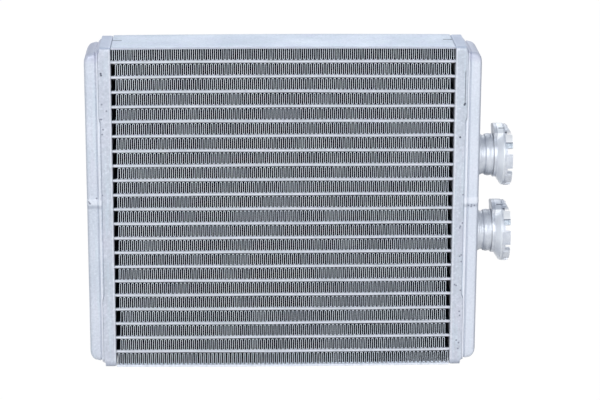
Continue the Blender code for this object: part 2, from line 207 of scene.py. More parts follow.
def mesh_from(name, points, quads, rings=()):
    """Mesh of an array of points, its quads and flat faces round whole rings of points."""
    mesh = bpy.data.meshes.new(name)
    points = np.asarray(points, dtype=np.float32).reshape(-1, 3)
    loops = np.concatenate([quads.ravel()] + [np.asarray(ring).ravel() for ring in rings])
    sizes = np.concatenate([np.full(len(quads), 4)] + [np.full(1, len(ring)) for ring in rings])
    mesh.vertices.add(len(points))
    mesh.vertices.foreach_set("co", points.ravel())
    mesh.loops.add(len(loops))
    mesh.loops.foreach_set("vertex_index", loops.astype(np.int32))
    mesh.polygons.add(len(sizes))
    mesh.polygons.foreach_set("loop_start", (np.cumsum(sizes) - sizes).astype(np.int32))
    mesh.update(calc_edges=True)
    mesh.validate()
    work = bmesh.new()
    work.from_mesh(mesh)
    bmesh.ops.remove_doubles(work, verts=work.verts, dist=0.000002)
    bmesh.ops.dissolve_degenerate(work, edges=work.edges, dist=0.000001)
    bmesh.ops.recalc_face_normals(work, faces=work.faces)
    work.to_mesh(mesh)
    work.free()
    return mesh


def closed_rings(name, points):
    """Mesh of rings of points, with a flat face on the first ring and on the last."""
    rows, count = points.shape[:2]
    ends = [np.arange(count), np.arange(count) + (rows - 1) * count]
    return mesh_from(name, points, grid_faces(rows, count, False, True), ends)


def placed(name, data):
    """Object of a mesh, light or camera in the scene."""
    item = bpy.data.objects.new(name, data)
    bpy.context.scene.collection.objects.link(item)
    return item


def piece(name, mesh, material, slot, *nodes):
    """Smoothly shaded piece that rides on the body and stands for CAD nodes."""
    mesh.shade_smooth()
    mesh.set_sharp_from_angle(angle=math.radians(SHARP_ANGLE))
    mesh.materials.clear()
    mesh.materials.append(material)
    item = placed(name, mesh)
    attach(item, "root")
    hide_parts(*nodes)


def evaluated(mesh, kind, **settings):
    """Copy of a mesh with a modifier of a kind applied."""
    item = placed("stage", mesh)
    modifier = item.modifiers.new(kind.title(), kind)
    for key, value in settings.items():
        setattr(modifier, key, value)
    bpy.context.view_layer.update()
    graph = bpy.context.evaluated_depsgraph_get()
    result = bpy.data.meshes.new_from_object(item.evaluated_get(graph))
    bpy.data.objects.remove(item, do_unlink=True)
    return result


def cut_away(mesh, cutter_mesh):
    """Mesh with the space of a closed cutter taken out of it."""
    cutter = placed("cutter", cutter_mesh)
    result = evaluated(mesh, "BOOLEAN", operation="DIFFERENCE", solver="EXACT", object=cutter)
    bpy.data.objects.remove(cutter, do_unlink=True)
    return result


def rounded_edges(mesh, width, angle=40):
    """Mesh with every edge sharper than an angle rounded."""
    return evaluated(mesh, "BEVEL", width=width, segments=2, limit_method="ANGLE",
                     angle_limit=math.radians(angle), harden_normals=False)


def arc(centre_along, centre_out, radius, start, end, count):
    """Points of an arc as rows of (along, out); angle 0 points outwards and 90 along."""
    angle = np.radians(np.linspace(start, end, count))
    return np.stack([centre_along + radius * np.sin(angle),
                     centre_out + radius * np.cos(angle)], axis=1)


# Flat tubes

def bowed(along, level):
    """Level of a point of the matrix, pulled in towards the headers: the core bulges a little.

    z - BOW (z - middle) / half_height (x / HALF_WIDTH)^2, held beyond the headers' floors.
    """
    share = np.clip(np.abs(along) / HALF_WIDTH, 0, 1) ** 2
    return level - BOW * (level - middle) / half_height * share


def stadium(low, high, grow=0.0, nose_points=7):
    """Loop of (y, z) round a flat tube: half circles of the half thickness, joined by flats."""
    radius = (high.z - low.z) / 2 + grow
    centre = (high.y - low.y) / 2 + grow - radius
    angle = np.linspace(-90, 90, nose_points)
    angle = np.radians(np.concatenate([angle, angle + 180]))
    side = np.repeat([1.0, -1.0], nose_points)
    return np.stack([side * centre + radius * np.cos(angle), radius * np.sin(angle)], axis=1)


def flat_tube(low, high, rng):
    """Hollow tube: the stadium loop carried along X, outwards along its skin and back inside.

    The middle sways by sway(x) = sum of three sines of x with seeded phases.
    """
    along = np.linspace(low.x, high.x, TUBE_STATIONS)
    phase = rng.uniform(0, 2 * math.pi, 3)
    turns = np.array(TUBE_TURNS) * math.pi / (high.x - low.x)
    sway = (TUBE_SWING * np.sin(along[:, None] * turns * 2 + phase)).sum(axis=1)
    outer, inner = stadium(low, high), stadium(low, high, -TUBE_WALL)
    rows = np.concatenate([along, along[[-1, 0]]])
    sway = np.concatenate([sway, sway[[-1, 0]]])
    loops = np.concatenate([np.repeat(outer[None], TUBE_STATIONS, axis=0),
                            np.repeat(inner[None], 2, axis=0)])
    level = bowed(rows, (low.z + high.z) / 2)
    points = np.empty(loops.shape[:2] + (3,))
    points[..., 0] = rows[:, None]
    points[..., 1] = loops[..., 0]
    points[..., 2] = (level + sway)[:, None] + loops[..., 1]
    return mesh_from("flat_tube", points, grid_faces(len(rows), loops.shape[1], True, True))


# Folded fins

def half_fold():
    """Half a fold from a low crest to the next high one, as (share of the step, height -1 to 1).

    A quarter circle leaves the low crest, a straight leg climbs, and a quarter circle arrives.
    """
    angle = np.radians(np.linspace(0, 90, CREST_POINTS))
    share = CREST_BEND * np.sin(angle)
    height = -1 + CREST_RISE * (1 - np.cos(angle))
    return np.concatenate([share, 1 - share[::-1]]), np.concatenate([height, -height[::-1]])


def camera_matrix():
    """Place of the camera: in front of the core, a little left of its middle, looking down."""
    x, y, z = CAMERA_PLACE
    turn = Matrix.Rotation(math.radians(CAMERA_TURN), 4, "Z")
    turn = turn @ Matrix.Rotation(math.radians(90 - CAMERA_TILT), 4, "X")
    turn = turn @ Matrix.Rotation(math.radians(CAMERA_ROLL), 4, "Z")
    return Matrix.Translation((x, y, middle + z)) @ turn


def picture_column(x, y, z):
    """Column of the picture where the camera sees the points (x, y, z), x being an array."""
    points = np.stack([x, np.full_like(x, y), np.full_like(x, z), np.ones_like(x)])
    seen = np.array(camera_matrix().inverted()) @ points
    return PICTURE_WIDTH * (0.5 - seen[0] / seen[2] * LENS / SENSOR_WIDTH)


def crest_places(low, high, rng):
    """Places along X of a strip's crests: evenly spaced, plus sway, drift and draw.

    The sway is seeded for each crest, and the drift is a seeded line between a few knots. The
    draw moves each crest by FOLD_DRAW sin(2 pi column) / 2 pi columns, up to 0.1 mm, towards the
    middle of the nearest picture column, so single folds stay readable in the main view. The
    first and last crests stay.
    """
    steps = 2 * FIN_WAVES
    sway = rng.normal(0, FOLD_SWAY, steps + 1)
    knots = np.linspace(0, steps, DRIFT_KNOTS)
    drift = np.interp(np.arange(steps + 1), knots, rng.normal(0, FOLD_DRIFT, DRIFT_KNOTS))
    crest = np.linspace(low.x, high.x, steps + 1)
    column = picture_column(crest + drift, low.y, (low.z + high.z) / 2)
    off_middle = np.sin(2 * math.pi * (column - 0.5)) / (2 * math.pi)
    shift = sway + drift - FOLD_DRAW * off_middle * np.gradient(crest, column)
    shift[0] = shift[-1] = 0.0
    return crest + shift


def fin_strip(low, high, rng):
    """Foil strip folded into waves, with thickness.

    Between crests c(j) the middle line has x = c(j) + share (c(j+1) - c(j)) and z = height times
    the half height, with the sign turning at each crest. The skin lies half the stock to each
    side, along the normal, and the stock is a little thicker at the crests.
    """
    crest = crest_places(low, high, rng)
    steps = 2 * FIN_WAVES
    share, height = half_fold()
    share, height = share[:-1], height[:-1]
    step = np.diff(crest)[:, None]
    across = (crest[:-1, None] + step * share[None]).ravel()
    sign = np.where(np.arange(steps) % 2 == 0, 1.0, -1.0)[:, None]
    half = (high.z - low.z - FIN_STOCK) / 2 + FIN_REACH
    up = (sign * height[None] * half).ravel()
    across = np.append(across, crest[-1])
    up = np.append(up, up[0])
    run, rise = np.gradient(across), np.gradient(up)
    length = np.hypot(run, rise)
    normal = np.stack([-rise / length, run / length], axis=1)
    crestness = np.clip((np.abs(up) / half - 0.8) / 0.2, 0, 1)
    stock = FIN_STOCK * (LEG_STOCK_SHARE + CREST_STOCK_GAIN * crestness)[:, None]
    line = np.stack([across, up], axis=1)
    over, under = line + normal * stock / 2, line - normal * stock / 2
    front, back = low.y, high.y
    corners = ((over, front), (over, back), (under, back), (under, front))
    points = np.empty((4, len(across), 3))
    for index, (skin, place) in enumerate(corners):
        points[index, :, 0] = skin[:, 0]
        points[index, :, 1] = place
        points[index, :, 2] = bowed(skin[:, 0], (low.z + high.z) / 2) + skin[:, 1]
    count = len(across)
    ends = [np.arange(4) * count, np.arange(4) * count + count - 1]
    return mesh_from("folded_fin", points, grid_faces(4, count, True, False), ends)


# Side plates

def side_plate(low, high, outward, rng):
    """Sheet with a slit at each end, thickened and with softened edges.

    A grid of x and y lines, on which the cells of the slits are left out. The sheet sinks from
    its level by up to a few hundredths of a millimetre in slow seeded waves.
    """
    slit_low, slit_high = SLIT_SETBACK - SLIT_WIDTH / 2, SLIT_SETBACK + SLIT_WIDTH / 2
    root = high.x - SLIT_LENGTH
    x_lines = np.unique(np.concatenate([np.linspace(-root, root, 61), [low.x, high.x]]))
    y_lines = np.linspace(low.y + EDGE_SPARE, high.y - EDGE_SPARE, 9)
    y_lines = np.unique(np.concatenate([y_lines, [slit_low, slit_high]]))
    x, y = np.meshgrid(x_lines, y_lines, indexing="ij")
    phase = rng.uniform(0, 2 * math.pi, 4)
    wave = (np.sin(x * 61 + phase[0]) * np.cos(y * 90 + phase[1])
            + 0.6 * np.sin(x * 143 + phase[2]) * np.cos(y * 150 + phase[3]))
    thickness = high.z - low.z
    z = bowed(x, (low.z + high.z) / 2) - outward * PLATE_WAVE * (1.6 + wave)
    faces = grid_faces(len(x_lines), len(y_lines), False, False)
    centre = np.stack([x, y], axis=-1).reshape(-1, 2)[faces].mean(axis=1)
    in_slit = np.abs(centre[:, 0]) > root
    in_slit &= (centre[:, 1] > slit_low) & (centre[:, 1] < slit_high)
    sheet = mesh_from("side_plate", np.stack([x, y, z], axis=-1), faces[~in_slit])
    solid = evaluated(sheet, "SOLIDIFY", thickness=thickness * PLATE_STOCK_SHARE, offset=0.0)
    return rounded_edges(solid, PLATE_EDGE)


# Rounded rings, for headers and caps

def perimeter(side_places, corner_points=7, end_points=9):
    """Weights (a, b, c, s) of each point round a rounded rectangle, as around() uses them."""
    ones = np.ones_like(side_places)
    short = np.linspace(1, -1, end_points)
    flat = np.ones_like(short)
    inner = np.radians(np.linspace(0, 90, corner_points + 2)[1:-1])
    cos, sin, one = np.cos(inner), np.sin(inner), np.ones_like(inner)
    parts = [
        (ones, side_places, ones, 0 * ones),
        (one, one, cos, sin),
        (short, flat, 0 * short, flat),
        (-one, one, -sin, cos),
        (-ones, -side_places, -ones, 0 * ones),
        (-one, -one, -cos, -sin),
        (-short, -flat, 0 * short, -flat),
        (one, -one, sin, -cos),
    ]
    return [np.concatenate([part[index] for part in parts]) for index in range(4)]


def around(reach, side, end, corner, weights):
    """Rings across X: y = a (side - corner) + c corner and z = b (end - corner) + s corner."""
    a, b, c, s = weights
    side, end, corner = side[:, None], end[:, None], corner[:, None]
    points = np.empty((len(reach), len(a), 3))
    points[..., 0] = reach[:, None]
    points[..., 1] = a * (side - corner) + c * corner
    points[..., 2] = b * (end - corner) + s * corner
    return points


def smooth_step(value):
    """0 below 0, 1 above 1, and a smooth rise between."""
    value = np.clip(value, 0, 1)
    return value * value * (3 - 2 * value)


def on_tab(level):
    """1 where the header's rim has a tab, by height from the middle, else 0."""
    far = np.abs(level)
    top = half_height - TAB_END_SPACE
    return (smooth_step((far - (top - TAB_LENGTH)) / TAB_SLOPE)
            * smooth_step((top - far) / TAB_SLOPE))


def slow_waves(points, rng, waves):
    """Seeded unevenness: a sum of products of sines along Z and X, each of a length and height."""
    total = np.zeros(points.shape[:-1])
    for length, height in waves:
        turn = 2 * math.pi / length
        first, second = rng.uniform(0, 2 * math.pi, 2)
        total += (height * np.sin(points[..., 2] * turn + first)
                  * np.cos(points[..., 0] * turn * 0.7 + second))
    return total


def header_pan(sign, rng):
    """Shallow pan: a floor for the tubes, a bend all round and a rim with a tab along each side.

    Rings run from the middle of the inner floor, up the inner wall, over the rim, down the outer
    wall, round the bend and in to the middle of the outer floor. A tab lifts the rim by its height
    times on_tab(z), and slow seeded waves sink the long sides.
    """
    weights = perimeter(np.linspace(-1, 1, 97))
    small = HEADER_CORNER - HEADER_WALL
    inner_side, inner_end = HALF_DEPTH - HEADER_WALL, half_height - HEADER_WALL
    floor = HALF_WIDTH + HEADER_WALL
    rim = HALF_WIDTH + HEADER_RIM
    middle_ring = (PAN_MIDDLE, half_height - HALF_DEPTH, PAN_MIDDLE_CORNER)
    rows = [
        (floor, *middle_ring),
        (floor, inner_side - PAN_FILLET, inner_end - PAN_FILLET, small / 2),
        (floor + 0.0003, inner_side - 0.0005, inner_end - 0.0005, small),
        (floor + 0.0008, inner_side, inner_end, small),
        (rim - RIM_EDGE, inner_side, inner_end, small),
        (rim, inner_side + RIM_EDGE, inner_end + RIM_EDGE, HEADER_CORNER - 0.001),
        (rim, HALF_DEPTH - RIM_EDGE, half_height - RIM_EDGE, HEADER_CORNER),
        (rim - RIM_EDGE, HALF_DEPTH, half_height, HEADER_CORNER),
    ]
    for angle in np.radians(np.linspace(0, 90, 7)):
        along = HALF_WIDTH + HEADER_BEND * (1 - math.sin(angle))
        inset = HEADER_BEND * (1 - math.cos(angle))
        end_inset = HEADER_END_BEND * (1 - math.cos(angle))
        rows.append((along, HALF_DEPTH - inset, half_height - end_inset,
                     max(HEADER_CORNER - inset, PAN_MIDDLE_CORNER)))
    rows.append((HALF_WIDTH, *middle_ring))
    points = around(*np.array(rows).T, weights)
    z = np.abs(points[..., 2])
    rise = smooth_step((points[..., 0] - (rim - TAB_RISE_START)) / TAB_RISE_LENGTH)
    points[..., 0] += TAB_HEIGHT * on_tab(points[..., 2]) * rise
    uneven = slow_waves(points, rng, HEADER_WAVES)
    outer_wall = (np.abs(points[..., 1]) > HALF_DEPTH - 0.0003) & (z < half_height - 0.004)
    points[..., 1] -= np.sign(points[..., 1]) * (np.abs(uneven) + 0.00001) * outer_wall
    points[..., 0] *= sign
    points[..., 2] += middle
    return cut_away(closed_rings("header_pan", points), tube_slots(sign))


def tube_slots(sign):
    """Closed stadium prisms through the header's floor, one for each tube."""
    prisms = []
    for index in range(TUBE_COUNT):
        low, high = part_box(f"tube_{index + 1:02d}")
        loop = stadium(low, high, SLOT_CLEARANCE)
        points = np.empty((2, len(loop), 3))
        points[..., 0] = np.array([SLOT_START, SLOT_END])[:, None] * sign
        points[..., 1] = loop[:, 0]
        points[..., 2] = bowed(HALF_WIDTH, (low.z + high.z) / 2) + loop[:, 1]
        prisms.append(points)
    count = len(loop)
    starts = np.arange(TUBE_COUNT)[:, None, None] * 2 * count
    quads = (grid_faces(2, count, False, True) + starts).reshape(-1, 4)
    ends = [np.arange(count) + ring * count for ring in range(2 * TUBE_COUNT)]
    return mesh_from("tube_slots", np.stack(prisms), quads, ends)


def cap_body(along, inset):
    """Half side and half end of the cap's body at a reach along X, inset for its inner wall.

    Each is its full size less its round, plus sqrt(round^2 - into^2), where into is how far the
    reach is past the start of the round.
    """
    face = cap_face - inset
    side_round, end_round = CAP_SIDE_ROUND - inset, CAP_END_ROUND - inset
    into_side = max(0.0, along - (face - side_round))
    into_end = max(0.0, along - (face - end_round))
    side, end = HALF_DEPTH - CAP_SIDE_INSET, half_height - CAP_END_INSET
    side = side - inset - side_round + math.sqrt(max(side_round ** 2 - into_side ** 2, 0.0))
    end = end - inset - end_round + math.sqrt(max(end_round ** 2 - into_end ** 2, 0.0))
    return side, end


def cap_rings():
    """Rings of a cap as (reach, half side, half end, corner, lean along X, lean along Y).

    They run from the middle of the inner face, back along the inner wall to the skirt's foot, out
    over the half round ridge and the valley, and on to the middle of the outer face. A ring's
    lean is the way in which its outer skin is lifted or sunk.
    """
    still, sideways = (0.0, 0.0), (0.0, 1.0)
    side, end = HALF_DEPTH - CAP_SIDE_INSET, half_height - CAP_END_INSET
    skirt_side = HALF_DEPTH - HEADER_WALL - JOINT_GAP
    skirt_end = half_height - HEADER_WALL - JOINT_GAP
    skirt_foot = HALF_WIDTH + HEADER_WALL + TUBE_REACH + JOINT_GAP
    inner_skirt = (skirt_side - CAP_WALL, skirt_end - CAP_WALL, CAP_INNER_CORNER, *still)
    outer_skirt = (skirt_side, skirt_end, CAP_CORNER, *still)
    ridge_side, ridge_end = HALF_DEPTH - RIDGE_INSET, half_height - RIDGE_END_INSET
    valley = cap_ledge + RIDGE_WIDTH + VALLEY_WIDTH
    inner_face = cap_face - CAP_WALL
    inner_side, inner_end = cap_body(inner_face, CAP_WALL)

    rings = []
    for share in (0.02, 0.5, 1.0):
        rings.append((inner_face, inner_side * share, inner_end - inner_side * (1 - share),
                      CAP_INNER_CORNER * share, *still))
    for along in (inner_face - 0.0004, inner_face - 0.0012, cap_face - CAP_END_ROUND, valley):
        rings.append((along, *cap_body(along, CAP_WALL), CAP_INNER_CORNER, *still))
    rings += [(cap_ledge, *inner_skirt), (skirt_foot, *inner_skirt),
              (skirt_foot, *outer_skirt), (cap_ledge, *outer_skirt)]
    for angle in np.radians(np.linspace(0, 180, 8)):
        back = RIDGE_WIDTH / 2 * (1 - math.sin(angle))
        along = cap_ledge + RIDGE_WIDTH / 2 * (1 - math.cos(angle))
        rings.append((along, ridge_side - back, ridge_end - back, CAP_CORNER,
                      0.0, float(smooth_step((angle - 1.2) / 1.6))))
    for share in (0.25, 0.55, 0.85):
        dip = VALLEY_DIP * math.sin(math.pi * share)
        rings.append((cap_ledge + RIDGE_WIDTH + VALLEY_WIDTH * share,
                      side - 0.0003 * (1 - share) - dip, end - 0.0002 * (1 - share) - dip,
                      CAP_CORNER, *sideways))
    into_round = cap_face - CAP_END_ROUND * (1 - math.cos(np.radians(62)))
    for along in (*np.linspace(valley, cap_face - CAP_END_ROUND, 3), into_round):
        rings.append((along, *cap_body(along, 0.0), CAP_CORNER, *sideways))
    for angle in np.radians(np.linspace(0, 90, 9)):
        along = cap_face - CAP_SIDE_ROUND * (1 - math.sin(angle))
        rings.append((along, *cap_body(along, 0.0), CAP_CORNER, math.sin(angle), math.cos(angle)))
    face_side, face_end = cap_body(cap_face, 0.0)
    for share in (0.86, 0.6, 0.3, 0.02):
        rings.append((cap_face, face_side * share, face_end - face_side * (1 - share),
                      max(CAP_CORNER * share, 0.0003), 1.0, 0.0))
    return np.array(rings)


def drawn_cap(sign, rng):
    """Drawn cap: skirt, half round ridge, valley, flat side, rounded ends and a raised bead.

    The bead lifts the outer skin by its height times a smooth hump of z, and slow seeded waves
    sink it, both along each ring's lean. The ridge reaches back to the header's rim where the
    rim has no tab.
    """
    bead = np.linspace(-1, 1, 15) * BEAD_HALF_WIDTH * 1.15 + bead_level
    straight = half_height - CAP_END_INSET - CAP_CORNER
    weights = perimeter(np.unique(np.concatenate([np.linspace(-1, 1, 81), bead / straight])))
    rings = cap_rings()
    half_ridge = RIDGE_WIDTH / 2

    points = around(*rings[:, :4].T, weights)
    on_ridge = points[..., 0] > cap_ledge - 0.0001
    on_ridge &= points[..., 0] < cap_ledge + half_ridge + 0.00001
    beside = np.abs(points[..., 2]) < half_height - CAP_END_ROUND
    reach_back = TAB_HEIGHT * (1 - on_tab(points[..., 2])) * on_ridge * beside
    reach_back = reach_back * (cap_ledge + half_ridge - points[..., 0]) / half_ridge
    points[..., 0] -= reach_back
    lean = rings[:, None, 4:]
    level = (points[..., 2] - bead_level) / BEAD_HALF_WIDTH
    hump = BEAD_HEIGHT * smooth_step((1 - np.abs(level)) / 0.62)
    uneven = slow_waves(points, rng, CAP_WAVES)
    sink = np.abs(uneven) * (np.abs(points[..., 2]) < half_height - 0.012)
    points[..., 0] += (BEAD_FACE_SHARE * hump - sink) * lean[..., 0]
    on_side = np.sign(points[..., 1]) * (np.abs(weights[0]) >= 1)
    points[..., 1] += (hump - sink) * lean[..., 1] * on_side
    points[..., 1] = np.clip(points[..., 1], -HALF_DEPTH, HALF_DEPTH)
    points[..., 0] *= sign
    points[..., 2] += middle
    return closed_rings("tank_cap", points)


# Ports

def turned(profile, height):
    """Points of a profile of (x, radius) turned about a line along X: (x, r cos, r sin)."""
    angle = np.linspace(0, 2 * math.pi, TURN_POINTS, endpoint=False)
    profile = np.asarray(profile, dtype=float)
    points = np.empty((len(profile), TURN_POINTS, 3))
    points[..., 0] = profile[:, :1]
    points[..., 1] = profile[:, 1:] * np.cos(angle)
    points[..., 2] = height + profile[:, 1:] * np.sin(angle)
    return points


def rod(start, end, radius, height):
    """Solid round rod along X, as a cutter."""
    return closed_rings("rod", turned([(start, radius), (end, radius)], height))


def softened(knots, count):
    """Points on a smooth curve through knots of (place, radius), each span eased with a cosine."""
    knots = np.asarray(knots, dtype=float)
    place = np.linspace(knots[0, 0], knots[-1, 0], count)
    span = np.clip(np.searchsorted(knots[:, 0], place, side="right") - 1, 0, len(knots) - 2)
    share = (place - knots[span, 0]) / (knots[span + 1, 0] - knots[span, 0])
    eased = (1 - np.cos(math.pi * share)) / 2
    radius = knots[span, 1] + eased * (knots[span + 1, 1] - knots[span, 1])
    return np.stack([place, radius], axis=1)


def port_height(port):
    """Height of the axis of the upper or lower port."""
    low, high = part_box(f"{port}_port_neck")
    return (low.z + high.z) / 2


def port_neck(height):
    """Turned neck: spigot, base collar, waist, bead, fine groove, sleeve and rolled lip.

    The skin is a smooth curve through knots of (reach from the cap, radius).
    """
    sleeve = BORE_RADIUS + NECK_WALL
    seat = NECK_LENGTH + CROWN_FLOOR + 2 * JOINT_GAP
    skin = softened([
        (JOINT_GAP, 0.0127), (0.0009, 0.0126), (0.0021, 0.0120), (0.0031, 0.0115),
        (0.0039, 0.0116), (0.0048, 0.0123), (0.0062, 0.0126), (0.0074, 0.0125),
        (0.0080, 0.0123), (NECK_LENGTH, 0.0126)], 36)
    profile = np.concatenate([
        [(-NECK_REACH_IN, BORE_RADIUS + 0.0002), (-NECK_REACH_IN, sleeve)],
        [(JOINT_GAP - 0.0001, sleeve)],
        skin,
        [(NECK_LENGTH + 0.00005, sleeve), (seat, sleeve)],
        arc(seat + 0.0005, sleeve + 0.0010, 0.0005, -90, 90, 7),
        [(seat + 0.0010, BORE_RADIUS + 0.0003), (seat + 0.0007, BORE_RADIUS)],
        [(0.0060, BORE_RADIUS), (0.0010, BORE_RADIUS)],
    ])
    profile[:, 0] += cap_face
    points = turned(profile, height)
    return mesh_from("turned", points, grid_faces(*points.shape[:2], True, True))


def crown_angles():
    """Angles round the crown, close together where a notch, pad or lug begins or ends."""
    edges = []
    for index in range(TOOTH_COUNT):
        notch = 180.0 + TOOTH_PITCH * (index + 0.5)
        for side in (-1, 1):
            edges += [notch + side * (NOTCH_ANGLE / 2 + away) for away in (-0.35, 0.35, 2.6, 3.1)]
    for side in (-1, 1):
        edges += [90 + side * (LUG_ANGLE / 2 + away) for away in (-0.5, 0.5)]
        edges += [90 + side * (STEP_ANGLE + away) for away in (-0.5, 0.5)]
    even = np.arange(0, 360, 2.5)
    angles = np.mod(np.array(edges), 360)
    far = np.abs((even[:, None] - angles[None] + 180) % 360 - 180).min(axis=1) > 0.8
    return np.radians(np.sort(np.concatenate([even[far], angles])))


def toothed_crown(height):
    """Ring with nine square teeth, steps in the teeth and a keying lug on top.

    A closed profile is turned about X while some of its sizes follow the angle: the end drops
    by the notch depth inside a notch, the back is a hub and a cone except at the lug, which
    keeps its full radius, and the teeth beside the lug are stepped in. A slanted plane trims
    the front of the lug.
    """
    angle = crown_angles()
    degrees = np.degrees(angle)
    half_pitch = TOOTH_PITCH / 2
    from_tooth = (degrees - 180.0 + half_pitch) % TOOTH_PITCH - half_pitch
    in_notch = (np.abs(from_tooth) > half_pitch - NOTCH_ANGLE / 2).astype(float)
    from_top = (degrees - 90 + 180) % 360 - 180
    in_lug = np.abs(from_top) < LUG_ANGLE / 2
    beside_notch = np.abs(from_tooth) < half_pitch - NOTCH_ANGLE / 2 - TOOTH_MARGIN
    ledge = np.abs(from_top) > STEP_ANGLE
    upper_pair, side_pair = (np.abs(np.abs(from_top) - place) < reach
                             for place, reach in (UPPER_PAIR, SIDE_PAIR))
    recess = np.where(upper_pair & ledge & ~in_lug, STEP_DEPTH, 0.0)
    recess = np.where(side_pair & beside_notch, SIDE_STEP_DEPTH, recess)
    recess = np.where(upper_pair | side_pair, recess, -CREASE * beside_notch)

    zero = np.zeros_like(angle)
    skin = zero + CROWN_RADIUS - CREASE
    tall = CROWN_RADIUS + LUG_RISE
    end = CROWN_LENGTH - NOTCH_DEPTH * in_notch
    socket = CROWN_RADIUS - CROWN_WALL
    bore = BORE_RADIUS + NECK_WALL + JOINT_GAP
    cone_end = CROWN_HUB_LENGTH + CROWN_CONE_LENGTH
    back = np.where(in_lug, tall, CROWN_HUB_RADIUS)
    step_start = cone_end + STEP_START
    step_end = np.where(side_pair, CROWN_LENGTH, CROWN_LENGTH - STEP_STOP)
    on_step = skin - recess * (1 - in_notch)
    outer = np.where(side_pair, on_step, skin)
    lines = [
        (zero, bore + zero),
        (zero, back),
        (np.where(in_lug, 0.0006, CROWN_HUB_LENGTH), back),
        (np.where(in_lug, LUG_LENGTH - 0.0004, cone_end), np.where(in_lug, tall, skin)),
        (np.where(in_lug, LUG_LENGTH, cone_end + CREASE), skin),
        (np.minimum(step_start, end - 0.0004), skin),
        (np.minimum(step_start + CREASE, end - 0.0003), on_step),
        (np.minimum(step_end - CREASE, end - 0.0002), on_step),
        (np.minimum(step_end, end - 0.0001), outer),
        (end, outer),
        (end, socket + zero),
        (CROWN_FLOOR + zero, socket + zero),
        (CROWN_FLOOR + zero, bore + zero),
    ]
    along = np.stack([line[0] for line in lines])
    radius = np.stack([line[1] for line in lines])
    points = np.empty(along.shape + (3,))
    points[..., 1] = radius * np.cos(angle)
    points[..., 2] = radius * np.sin(angle)
    above = np.clip(points[..., 2] - (tall - LUG_SLANT_FALL), 0, None)
    points[..., 0] = np.minimum(along, CROWN_LENGTH - above * LUG_SLANT / LUG_SLANT_FALL)
    points[..., 0] += crown_start
    points[..., 2] += height
    crown = mesh_from("crown", points, grid_faces(len(lines), len(angle), True, True))
    return rounded_edges(crown, CROWN_EDGE, 42)


# Materials

def maths(tree, operation, *values):
    """Number worked out by a node tree from numbers or outputs."""
    node = tree.nodes.new("ShaderNodeMath")
    node.operation = operation
    for value, socket in zip(values, node.inputs):
        if isinstance(value, (int, float)):
            socket.default_value = value
        else:
            tree.links.new(value, socket)
    return node.outputs["Value"]


def ramp(tree, value, low, high, start, end, curve="LINEAR"):
    """Value mapped by a node tree from low..high to start..end and held beyond."""
    node = tree.nodes.new("ShaderNodeMapRange")
    node.interpolation_type = curve
    limits = (("From Min", low), ("From Max", high), ("To Min", start), ("To Max", end))
    for name, number in limits:
        node.inputs[name].default_value = number
    tree.links.new(value, node.inputs["Value"])
    return node.outputs["Result"]


